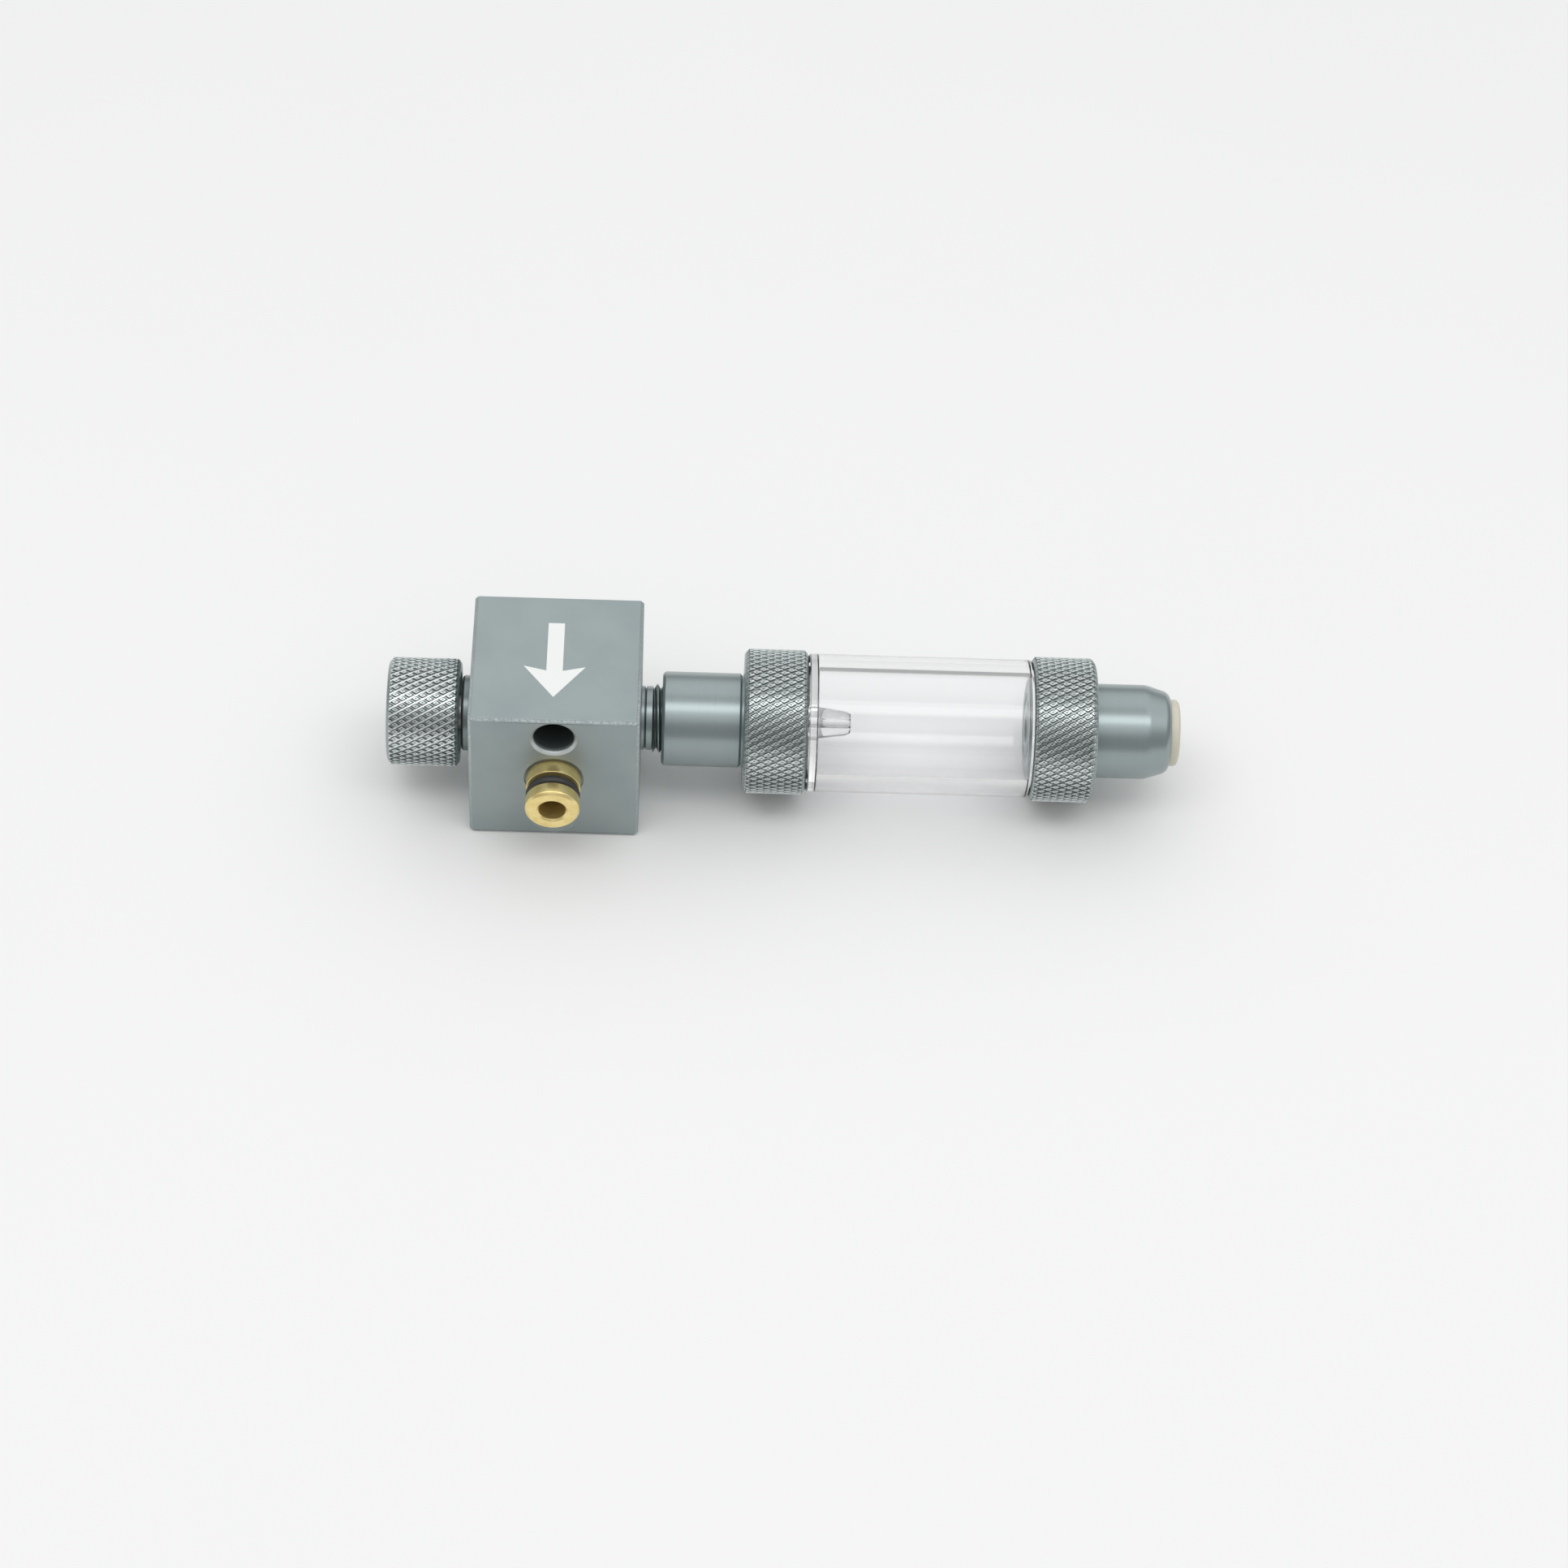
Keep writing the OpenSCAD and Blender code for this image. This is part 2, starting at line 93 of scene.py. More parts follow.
def placeCamera():
    tilt, turn, roll = (radians(cameraLook[k]) for k in ("elevation", "azimuth", "roll"))
    back = Vector((sin(turn) * cos(tilt), -cos(turn) * cos(tilt), sin(tilt)))
    level = Vector((cos(turn), sin(turn), 0))
    rise = back.cross(level)
    side = level * cos(roll) + rise * sin(roll)
    top = rise * cos(roll) - level * sin(roll)
    middle = Vector(((cadLow.x + cadHigh.x) / 2, 0, gasHeight)) - top * cameraLook["drop"] * mm
    place = Matrix((side, top, back)).transposed().to_4x4()
    place.translation = middle + back * cameraLook["distance"] * mm
    data = bpy.data.cameras.new("camera")
    data.lens = cameraLook["lens"]
    data.sensor_width = 36
    data.clip_start = 0.05
    camera = bpy.data.objects.new("camera", data)
    bpy.context.collection.objects.link(camera)
    camera.matrix_world = place
    bpy.context.scene.camera = camera


def hangSoftbox():
    data = bpy.data.lights.new("softbox", "AREA")
    data.shape = "RECTANGLE"
    data.size, data.size_y = softbox["size"]
    data.energy = softbox["power"]
    lamp = bpy.data.objects.new("softbox", data)
    bpy.context.collection.objects.link(lamp)
    middle = (cadLow + cadHigh) / 2
    lamp.location = (middle.x, -softbox["forward"], softbox["height"])
    lamp.rotation_mode = "QUATERNION"
    lamp.rotation_quaternion = (lamp.location - middle).to_track_quat("Z", "Y")


placeCamera()
hangSoftbox()
bpy.context.scene.view_settings.view_transform = "Standard"
print("camera and softbox placed")


# shader maths

class Wire:                                     # a socket that Python's operators can work on
    def __init__(self, paint, socket):
        self.paint, self.socket = paint, socket

    def __add__(self, other):
        return self.paint.maths("ADD", self, other)

    def __sub__(self, other):
        return self.paint.maths("SUBTRACT", self, other)

    def __mul__(self, other):
        return self.paint.maths("MULTIPLY", self, other)

    def __rsub__(self, other):
        return self.paint.maths("SUBTRACT", other, self)

    def __abs__(self):
        return self.paint.maths("ABSOLUTE", self)

    __radd__ = __add__
    __rmul__ = __mul__


class Paint:
    def __init__(self, name, world=None):
        self.made = world or bpy.data.materials.new(name)
        self.made.use_nodes = True
        self.tree = self.made.node_tree
        self.tree.nodes.clear()
        self.output = self.tree.nodes.new("ShaderNodeOutputWorld" if world else "ShaderNodeOutputMaterial")

    def add(self, kind, settings=None, values=None, out=0):
        node = self.tree.nodes.new("ShaderNode" + kind)
        for key, value in (settings or {}).items():
            setattr(node, key, value)
        for key, value in (values or {}).items():
            if isinstance(value, Wire):
                self.tree.links.new(value.socket, node.inputs[key])
            else:
                node.inputs[key].default_value = value
        return Wire(self, node.outputs[out])

    def maths(self, operation, *terms):
        return self.add("Math", {"operation": operation}, dict(enumerate(terms)))

    def objectPlace(self):
        return self.add("TexCoord", out="Object")

    def split(self, vector):
        parts = self.add("SeparateXYZ", values={0: vector}).socket.node
        return [Wire(self, part) for part in parts.outputs]

    def join(self, x, y, z):
        return self.add("CombineXYZ", values={0: x, 1: y, 2: z})

    def noise(self, vector, scale, detail=2.0, rough=0.5):
        return self.add("TexNoise", values={"Vector": vector, "Scale": scale, "Detail": detail,
                                            "Roughness": rough})

    def ease(self, value, low, high, start=0.0, end=1.0):      # a smooth step from start to end
        return self.add("MapRange", {"interpolation_type": "SMOOTHSTEP"},
                        {0: value, 1: low, 2: high, 3: start, 4: end})

    def blend(self, factor, first, second):
        colours = {6: first if isinstance(first, Wire) else (*first, 1),
                   7: second if isinstance(second, Wire) else (*second, 1)}
        return self.add("Mix", {"data_type": "RGBA"}, {0: factor, **colours}, out=2)

    def relief(self, height, depth, strength=1.0):             # depth in mm
        return self.add("Bump", values={"Height": height, "Distance": depth * mm, "Strength": strength})

    def surface(self, **values):
        named = {key.replace("_", " ").title().replace("Ior", "IOR"): value for key, value in values.items()}
        return self.add("BsdfPrincipled", values=named)

    def finish(self, shader):
        self.tree.links.new(shader.socket, self.output.inputs["Surface"])
        return self.made


def lineRadius(paint, place):                   # x, and the distance from the gas line
    x, y, z = paint.split(place)
    rise = z - gasHeight
    return x, paint.maths("SQRT", y * y + rise * rise)


# materials

block = {"chamfer": 0.5, "softEdge": 0.09, "mouth": 0.3, "recessDepth": 0.35, "nippleDepth": 5.7,
         "portDepth": 6.7, "tieDepth": 8.0, "tieHeight": 4.0, "headChamfer": 0.4}
blockBores = {"recess": 8.7, "nipple": 7.1, "channel": 4.0, "port": 8.1,        # diameters
              "tieHole": 3.4, "tieHead": 6.0, "tieMouth": 7.0}
knurl = {"angle": 30, "height": 0.26, "floor": 0.075, "slope": 0.19, "land": 0.09, "dimple": 0.05,
         "dimpleDepth": 0.08}
# knurl colours: the walls are painted shade, the crests partly a painted highlight, the groove bottoms a
# painted highlight
knurlTone = {"crest": (0.88, 0.93, 0.92), "wall": (0.13, 0.153, 0.157), "grooveHighlight": (0.92, 0.95, 0.94)}
# the darkest tone is painted shade for bores and thread roots; the pale tone is edge wear, and also a painted
# highlight on the tie holes' lips
anodisedTone = {"light": (0.335, 0.39, 0.39), "dark": (0.305, 0.355, 0.362), "wornAndHighlit": (0.8, 0.84, 0.83),
                "paintedShadeTone": (0.09, 0.105, 0.105)}


def anodisedBlock():                            # milled faces, a fine grain and scuffed edges, with painted shade in the bores and a painted highlight on the tie holes' lips
    paint = Paint("anodised_block")
    place = paint.objectPlace()
    x, y, z = paint.split(place)
    reachZ = abs(z - gasHeight)
    tieOffset = halfSide - block["tieHeight"]
    sides = [abs(x), abs(y), reachZ]
    reach = [s * (1 / (halfSide * mm)) for s in sides]
    longest = paint.maths("MAXIMUM", paint.maths("MAXIMUM", reach[0], reach[1]), reach[2])
    shortest = paint.maths("MINIMUM", paint.maths("MINIMUM", reach[0], reach[1]), reach[2])
    second = reach[0] + reach[1] + reach[2] - longest - shortest
    nearEdge = paint.ease(second, 0.955, 0.985)
    scuffs = paint.ease(paint.noise(place, 2600, 4, 0.7), 0.42, 0.62)
    handled = paint.ease(z - y, 22 * mm, 36 * mm, 0.35, 1.0)      # most of the wear is on the near top edge
    wearAndHighlight = nearEdge * (0.12 + 0.6 * scuffs) * handled
    paintedBoreShade = paint.ease(longest, 0.965, 0.9)      # painted shade: the bores are darkened a little way in
    offHole = reachZ - tieOffset * mm
    fromHole = paint.maths("SQRT", x * x + offHole * offHole)
    lip = paint.ease(fromHole, 3.5 * mm, 3.42 * mm) * paint.ease(longest, 0.955, 0.97)
    lipHighlight = paint.ease(offHole, 1 * mm, -3 * mm, 0.1, 0.65)      # painted highlight on the lip, most on the side nearest the nipple
    # edge wear, with the painted lip highlight added on top
    wearAndHighlight = paint.maths("MAXIMUM", wearAndHighlight, lip * lipHighlight)
    cloud = paint.noise(place, 130, 3)
    grain = paint.noise(place, 6000, 3, 0.65)
    tone = paint.blend(paint.ease(cloud, 0.3, 0.7), anodisedTone["dark"], anodisedTone["light"])
    tone = paint.blend(wearAndHighlight, tone, anodisedTone["wornAndHighlit"])
    tone = paint.blend(paintedBoreShade, tone, anodisedTone["paintedShadeTone"])
    return paint.finish(paint.surface(
        base_color=tone, metallic=0.4, roughness=0.36 + 0.1 * grain - 0.1 * wearAndHighlight,
        specular_ior_level=0.5, normal=paint.relief(grain, 0.004)))


def diamondReach(crest, starts):                # half of a diamond's length along the line, in mm
    return pi * crest / starts / tan(radians(knurl["angle"]))


def anodisedTurned(name="anodised_turned", shade=1.0, shadedRootRadius=0.0):    # satin, with faint lathe rings; shade darkens the whole tone as painted shade, and the root radius adds painted shade in thread roots
    paint = Paint(name)
    place = paint.objectPlace()
    x, radius = lineRadius(paint, place)
    rings = paint.noise(paint.join(x * 1800, radius * 1800, 0), 1, 3, 0.6)
    grain = paint.noise(place, 5000, 3, 0.65)
    dark, light = ([part * shade for part in anodisedTone[key]] for key in ("dark", "light"))
    tone = paint.blend(rings * 0.6 + grain * 0.4, dark, light)
    # painted shade: below that radius the thread roots and grooves are darkened
    if shadedRootRadius:
        tone = paint.blend(paint.ease(radius, (shadedRootRadius + 0.15) * mm, (shadedRootRadius - 0.1) * mm), tone,
                           anodisedTone["paintedShadeTone"])
    return paint.finish(paint.surface(
        base_color=tone, metallic=0.75, roughness=0.25 + 0.03 * rings + 0.04 * grain,
        normal=paint.relief(rings + grain * 0.4, 0.0003)))


def anodisedKnurl(name, crest, starts, centre):
    # painted shade darkens the groove walls; the crests are bright partly from wear and partly as a painted
    # highlight, and a painted highlight brightens the bottoms of one set of grooves
    paint = Paint(name)
    place = paint.objectPlace()
    x, radius = lineRadius(paint, place)
    grain = paint.noise(place, 5000, 3, 0.65)
    _, y, z = paint.split(place)
    around = paint.maths("ARCTAN2", 0 - y, z - gasHeight) * (starts / (2 * pi))
    along = (x - centre * mm) * (1 / (2 * diamondReach(crest, starts) * mm))
    acrossGroove = abs(paint.maths("FRACT", along + around) - 0.5)
    line = paint.ease(acrossGroove, 0.17, 0.08)
    depth = (crest * mm - radius) * (1 / (knurl["height"] * mm))
    cut = paint.ease(depth, 1.3, 1.1)           # below the grooves the metal is plain
    # painted shade on the groove walls
    wall = paint.ease(depth, 0.12, 0.4) * cut
    # painted highlight along the bottoms of one set of grooves, and faintly on the deepest floor
    grooveHighlight = (paint.ease(depth, 0.86, 0.97) * 0.3 + paint.ease(depth, 0.4, 0.75) * line * 0.7) * cut
    # the crests' pale tone is partly wear and partly a painted highlight
    tone = paint.blend(cut * (0.4 + 0.6 * grain), anodisedTone["light"], knurlTone["crest"])
    tone = paint.blend(wall, tone, knurlTone["wall"])
    tone = paint.blend(grooveHighlight, tone, knurlTone["grooveHighlight"])
    return paint.finish(paint.surface(
        base_color=tone, metallic=0.85, roughness=0.24 + 0.1 * grain, normal=paint.relief(grain, 0.001)))


def brassTurned():
    paint = Paint("brass_turned")
    place = paint.objectPlace()
    x, y, z = paint.split(place)
    rise = z - gasHeight
    radius = paint.maths("SQRT", x * x + rise * rise)
    rings = paint.noise(paint.join(y * 5000, radius * 5000, 0), 1, 2, 0.6)
    stain = paint.noise(place, 450, 4, 0.6)
    tone = paint.blend(paint.ease(stain, 0.35, 0.7), (0.95, 0.78, 0.36), (0.83, 0.65, 0.26))
    return paint.finish(paint.surface(
        base_color=tone, metallic=0.8, roughness=0.24 + 0.12 * rings, normal=paint.relief(rings, 0.002)))


def steelTurned():
    paint = Paint("steel_turned")
    place = paint.objectPlace()
    x, radius = lineRadius(paint, place)
    rings = paint.noise(paint.join(x * 6000, radius * 6000, 0), 1, 2)
    tone = paint.blend(rings, (0.5, 0.5, 0.49), (0.62, 0.62, 0.6))
    return paint.finish(paint.surface(
        base_color=tone, metallic=1.0, roughness=0.24 + 0.12 * rings, normal=paint.relief(rings, 0.002)))


def nitrile():                                  # O-rings, slightly greased
    paint = Paint("nitrile_rubber")
    place = paint.objectPlace()
    grain = paint.noise(place, 4000, 4, 0.7)
    grease = paint.noise(place, 700, 2)
    tone = paint.blend(grain, (0.018, 0.018, 0.017), (0.045, 0.044, 0.04))
    return paint.finish(paint.surface(
        base_color=tone, roughness=0.38 + 0.3 * grease, specular_ior_level=0.55,
        normal=paint.relief(grain, 0.006)))


def ptfe():
    paint = Paint("ptfe_white")
    place = paint.objectPlace()
    grain = paint.noise(place, 3000, 3)
    tone = paint.blend(grain, (0.78, 0.78, 0.76), (0.86, 0.86, 0.84))
    return paint.finish(paint.surface(
        base_color=tone, roughness=0.45 + 0.15 * grain, normal=paint.relief(grain, 0.003)))


def ivoryPlastic():                             # the moulded release collet
    paint = Paint("ivory_plastic")
    place = paint.objectPlace()
    grain = paint.noise(place, 2600, 3)
    cloud = paint.noise(place, 300, 2)
    tone = paint.blend(cloud, (0.6, 0.575, 0.47), (0.68, 0.65, 0.55))
    return paint.finish(paint.surface(
        base_color=tone, roughness=0.36 + 0.16 * grain, normal=paint.relief(grain, 0.004)))


def whiteMark():                                # the arrow, where the dyed skin is burnt off
    paint = Paint("white_mark")
    place = paint.objectPlace()
    grain = paint.noise(place, 5200, 4, 0.7)
    stretched = [part * k for part, k in zip(paint.split(place), (9000, 500, 500))]
    lines = paint.noise(paint.join(*stretched), 1, 1)
    tone = paint.blend(grain * 0.6 + lines * 0.4, (0.8, 0.82, 0.8), (0.92, 0.93, 0.91))
    return paint.finish(paint.surface(
        base_color=tone, roughness=0.62 + 0.2 * grain, normal=paint.relief(grain, 0.004)))


def clearAcrylic(name="clear_acrylic", haze=0.015, tint=(0.985, 0.985, 0.99)):
    paint = Paint(name)
    place = paint.objectPlace()
    ripple = paint.noise(place, 240, 2)
    film = paint.noise(place, 1600, 3)
    glass = paint.surface(
        base_color=(*tint, 1), ior=1.49, transmission_weight=1.0,
        roughness=paint.ease(film, 0.45, 0.8, haze, haze + 0.05), normal=paint.relief(ripple, 0.004))
    through = paint.add("BsdfTransparent", values={"Color": (0.93, 0.93, 0.94, 1)})
    lampRay = paint.add("LightPath", out="Is Shadow Ray")
    return paint.finish(paint.add("MixShader", values={0: lampRay, 1: glass, 2: through}))


def paleFloor():
    paint = Paint("pale_floor")
    place = paint.objectPlace()
    mottle = paint.noise(place, 8, 3)
    pale = surround["floor"]
    tone = paint.blend(mottle, (pale, pale, pale - 0.008), (pale + 0.02, pale + 0.02, pale + 0.012))
    return paint.finish(paint.surface(base_color=tone, roughness=0.85, specular_ior_level=0.2))


def paintWorld():                               # pale room: a little darker towards the horizon
    world = bpy.data.worlds.new("room")
    bpy.context.scene.world = world
    paint = Paint("room", world)
    _, depth, height = paint.split(paint.add("TexCoord", out="Generated"))
    glow = paint.ease(height + depth * surround["behind"], 0.3, 0.75, surround["horizon"], surround["sky"])
    glow = glow - paint.ease(height, 0.925, 0.965, 0.0, surround["sky"] - surround["overhead"])
    paint.finish(paint.add("Background", values={"Color": (0.985, 0.995, 1.0, 1), "Strength": glow}))


paintWorld()
blockMetal = anodisedBlock()
turnedMetal = anodisedTurned()
brass = brassTurned()
steel = steelTurned()
rubber = nitrile()
slipWhite = ptfe()
ivory = ivoryPlastic()
markWhite = whiteMark()
acrylic = clearAcrylic()
hazedAcrylic = clearAcrylic("hazed_acrylic", 0.06, (0.98, 0.98, 0.985))
print("materials mixed")


# modelling tools

def turn(profile, line=alongX, steps=160, centre=gasLine):
    # profile: [place along the line, radius, rounding] in mm, going round the section once
    bm = bmesh.new()
    corners = [bm.verts.new(centre + line * a * mm + upwards * r * mm) for a, r, _ in profile]
    bm.faces.new(corners)
    for soft in sorted({p[2] for p in profile} - {0}):
        picked = [v for v, p in zip(corners, profile) if p[2] == soft]
        bmesh.ops.bevel(bm, geom=picked, offset=soft * mm, offset_type="OFFSET", segments=4, profile=0.5,
                        affect="VERTICES", material=-1)
    bmesh.ops.delete(bm, geom=bm.faces[:], context="FACES_ONLY")
    onLine = [e for e in bm.edges if all((v.co - centre).cross(line).length < 1e-7 for v in e.verts)]
    bmesh.ops.delete(bm, geom=onLine, context="EDGES")
    bmesh.ops.spin(bm, geom=bm.verts[:] + bm.edges[:], cent=centre, axis=line, dvec=(0, 0, 0),
                   angle=2 * pi, steps=steps, use_merge=True)
    tidyShell(bm)
    return bm


def tidyShell(bm):
    bmesh.ops.remove_doubles(bm, verts=bm.verts, dist=0.0005 * mm)
    bmesh.ops.dissolve_degenerate(bm, edges=bm.edges, dist=0.0001 * mm)
    bmesh.ops.recalc_face_normals(bm, faces=bm.faces)


def toPiece(name, bm, materials, body, stands=(), crease=32):
    mesh = bpy.data.meshes.new(name)
    bm.to_mesh(mesh)
    bm.free()
    for material in materials if isinstance(materials, (list, tuple)) else [materials]:
        mesh.materials.append(material)
    mesh.shade_smooth()
    mesh.set_sharp_from_angle(angle=radians(crease))
    piece = bpy.data.objects.new(name, mesh)
    bpy.context.collection.objects.link(piece)
    even = piece.modifiers.new("even_shading", "WEIGHTED_NORMAL")
    even.keep_sharp = True
    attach(piece, body)
    if stands:
        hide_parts(*stands)
    return piece


def cutOut(bm, cutters):                        # a cutter's material stays on the walls that it cuts
    def asObject(shape, name):
        mesh = bpy.data.meshes.new(name)
        shape.to_mesh(mesh)
        shape.free()
        held = bpy.data.objects.new(name, mesh)
        bpy.context.collection.objects.link(held)
        return held
    body = asObject(bm, "stock")
    tools = [asObject(cutter, "cutter") for cutter in cutters]
    for tool in tools:
        cut = body.modifiers.new("cut", "BOOLEAN")
        cut.operation, cut.solver, cut.object = "DIFFERENCE", "EXACT", tool
    bpy.context.view_layer.update()
    result = bmesh.new()
    result.from_mesh(body.evaluated_get(bpy.context.evaluated_depsgraph_get()).to_mesh())
    for held in [body] + tools:
        bpy.data.objects.remove(held)
    return result


def onCircle(point, x, radius):                 # the point at that x and that far from the gas line
    away = atan2(point.y, point.z - gasHeight)
    return Vector((x * mm, radius * mm * sin(away), gasHeight + radius * mm * cos(away)))


def runLoop(bm, loop, stations):                # extrudes a round edge loop through [x, radius] stations
    for x, radius in stations:
        grown = bmesh.ops.extrude_edge_only(bm, edges=loop)["geom"]
        loop = [e for e in grown if isinstance(e, bmesh.types.BMEdge)]
        for v in (v for v in grown if isinstance(v, bmesh.types.BMVert)):
            v.co = onCircle(v.co, x, radius)
    return loop


# knurling

def knurledBand(x0, x1, crest, starts):
    # one raised diamond, turned round the line and stepped along it, then cut square at both ends
    bm = bmesh.new()
    groove = crest - knurl["height"]
    halfAcross = pi / starts
    halfAlong = diamondReach(crest, starts)
    corners = [(-halfAlong, 0), (0, -halfAcross), (halfAlong, 0), (0, halfAcross)]
    diamond = bm.faces.new([bm.verts.new(gasLine + Vector((x, -groove * sin(a), groove * cos(a))) * mm)
                            for x, a in corners])
    bm.normal_update()
    if diamond.normal.z < 0:
        diamond.normal_flip()
    for width, lift in ((knurl["floor"], 0), (knurl["slope"], knurl["height"]), (knurl["land"], 0),
                        (knurl["dimple"], -knurl["dimpleDepth"])):
        bmesh.ops.inset_individual(bm, faces=[diamond], thickness=width * mm, depth=lift * mm,
                                   use_even_offset=True)
    cell = bm.verts[:] + bm.edges[:] + bm.faces[:]
    bmesh.ops.spin(bm, geom=cell, cent=gasLine, axis=alongX, dvec=(0, 0, 0), steps=starts - 1,
                   angle=2 * pi * (starts - 1) / starts, use_duplicate=True)
    ring = bm.verts[:] + bm.edges[:] + bm.faces[:]
    rows = 2 * int((x1 - x0) / halfAlong / 2) + 5      # odd, so that a row sits on the band's centre
    for row in range(1, rows):
        made = bmesh.ops.duplicate(bm, geom=ring)["geom"]
        moved = [v for v in made if isinstance(v, bmesh.types.BMVert)]
        shift = Matrix.Rotation(row % 2 * halfAcross, 3, "X")
        bmesh.ops.rotate(bm, verts=moved, cent=gasLine, matrix=shift)
        bmesh.ops.translate(bm, verts=moved, vec=alongX * row * halfAlong * mm)
    bmesh.ops.remove_doubles(bm, verts=bm.verts, dist=0.001 * mm)
    middle = (x0 + x1) / 2 - (rows - 1) / 2 * halfAlong
    bmesh.ops.translate(bm, verts=bm.verts, vec=alongX * middle * mm)
    for x, way in ((x0, -1), (x1, 1)):
        bmesh.ops.bisect_plane(bm, geom=bm.verts[:] + bm.edges[:] + bm.faces[:], dist=0.0001 * mm,
                               plane_co=(x * mm, 0, 0), plane_no=(way, 0, 0), clear_outer=True)
    rims = [e for e in bm.edges if e.is_boundary]
    middleX = (x0 + x1) / 2 * mm
    left = [e for e in rims if e.verts[0].co.x < middleX]
    right = [e for e in rims if e.verts[0].co.x > middleX]
    return bm, left, right


# valve block

arrow = {"tip": -7.7, "barbY": -1.65, "notchY": -2.5, "tail": 7.0, "barb": 4.55, "shaft": 1.2,
         "centre": -0.25, "depth": 0.03}
valveRoom = {"bonnetThread": 5.05, "bonnetFloor": -5.2, "stemRoom": 4.0, "stemEnd": 3.0,
             "seatRoom": 3.75, "seatEnd": 7.05, "gasWay": 1.25, "connectorFloor": 7.2,
             "connectorThread": 4.05}           # radii, and places along X


def arrowCutter():                              # a flat prism that leaves the arrow's outline on the top face
    bm = bmesh.new()
    half = [(0, arrow["tip"]), (arrow["barb"], arrow["barbY"]), (arrow["shaft"], arrow["notchY"]),
            (arrow["shaft"], arrow["tail"])]
    outline = half + [(-x, y) for x, y in reversed(half[1:])]
    floor = blockHigh.z - arrow["depth"] * mm
    face = bm.faces.new([bm.verts.new(((x + arrow["centre"]) * mm, y * mm, floor)) for x, y in outline])
    grown = bmesh.ops.extrude_face_region(bm, geom=[face])["geom"]
    raised = [v for v in grown if isinstance(v, bmesh.types.BMVert)]
    bmesh.ops.translate(bm, verts=raised, vec=upwards * 1 * mm)
    bmesh.ops.recalc_face_normals(bm, faces=bm.faces)
    return bm


def makeBlock():
    bm = bmesh.new()
    bmesh.ops.create_cube(bm, size=2 * halfSide * mm)
    bmesh.ops.translate(bm, verts=bm.verts, vec=gasLine)
    bmesh.ops.bevel(bm, geom=bm.edges[:], offset=block["chamfer"] * mm, offset_type="OFFSET", segments=1,
                    profile=0.5, affect="EDGES", material=-1)
    r = {bore: width / 2 for bore, width in blockBores.items()}
    past = halfSide + 1                         # the cutters stick out of the faces
    front = -halfSide
    recessFloor = front + block["recessDepth"]
    nippleFloor = front + block["nippleDepth"]
    portFloor = halfSide - block["portDepth"]
    mouth = block["mouth"]
    line = turn([(-past, 0, 0), (-past, r["recess"], 0), (recessFloor, r["recess"], 0),
                 (recessFloor, r["nipple"], 0), (nippleFloor, r["nipple"], 0),
                 (nippleFloor, r["channel"], 0), (portFloor, r["channel"], 0), (portFloor, r["port"], 0),
                 (halfSide - mouth, r["port"], 0), (halfSide + mouth, r["port"] + 2 * mouth, 0),
                 (past, r["port"] + 2 * mouth, 0), (past, 0, 0)], alongY, 96)
    headFloor = front + block["tieDepth"]
    rearEdge = halfSide - 0.2
    flare = r["tieHole"] + 0.5
    tie = [(-past, 0, 0), (-past, r["tieMouth"] + 1, 0), (front + block["headChamfer"], r["tieHead"], 0),
           (headFloor, r["tieHead"], 0), (headFloor, r["tieHole"], 0), (rearEdge, r["tieHole"], 0),
           (halfSide + mouth, flare, 0), (past, flare, 0), (past, 0, 0)]
    ties = [turn(tie, alongY, 96, Vector((0, 0, z * mm)))
            for z in (block["tieHeight"], 2 * halfSide - block["tieHeight"])]
    room = valveRoom
    ports = turn([(-past, 0, 0), (-past, room["bonnetThread"], 0),
                  (room["bonnetFloor"], room["bonnetThread"], 0), (room["bonnetFloor"], room["stemRoom"], 0),
                  (room["stemEnd"], room["stemRoom"], 0), (room["stemEnd"], room["seatRoom"], 0),
                  (room["seatEnd"], room["seatRoom"], 0), (room["seatEnd"], room["gasWay"], 0),
                  (room["connectorFloor"], room["gasWay"], 0),
                  (room["connectorFloor"], room["connectorThread"], 0),
                  (past, room["connectorThread"], 0), (past, 0, 0)], alongX, 96)
    bm = cutOut(bm, [line] + ties + [ports])
    bmesh.ops.remove_doubles(bm, verts=bm.verts, dist=0.001 * mm)
    skin = (halfSide - block["chamfer"] - 0.1) * mm

    def nearSkin(v):
        return max(abs(v.co.x), abs(v.co.y), abs(v.co.z - gasHeight)) > skin
    sharp = [e for e in bm.edges if e.is_manifold and e.calc_face_angle() > radians(20)]
    rims = [e for e in sharp if all(map(nearSkin, e.verts))]
    bmesh.ops.bevel(bm, geom=rims, offset=block["softEdge"] * mm, offset_type="OFFSET", segments=2,
                    profile=0.5, affect="EDGES", clamp_overlap=True, material=-1)
    for face in bm.faces:
        face.material_index = 0
    mark = arrowCutter()
    for face in mark.faces:
        face.material_index = 1
    bm = cutOut(bm, [mark])
    bmesh.ops.recalc_face_normals(bm, faces=bm.faces)
    return toPiece("valve_body", bm, [blockMetal, markWhite], "block", ["valve_block"])


makeBlock()
print("valve block cut")


# nipple and its ring

nipple = {"bore": 2.0, "step": 0.5, "land": 2.15, "groove": 2.1, "grooveRadius": 2.5, "soft": 0.1,
          "rootChamfer": 0.3, "rearGroove": (1.6, 2.7), "rearDepth": 0.8, "tipChamfer": 0.4,
          "boreChamfer": 0.3}


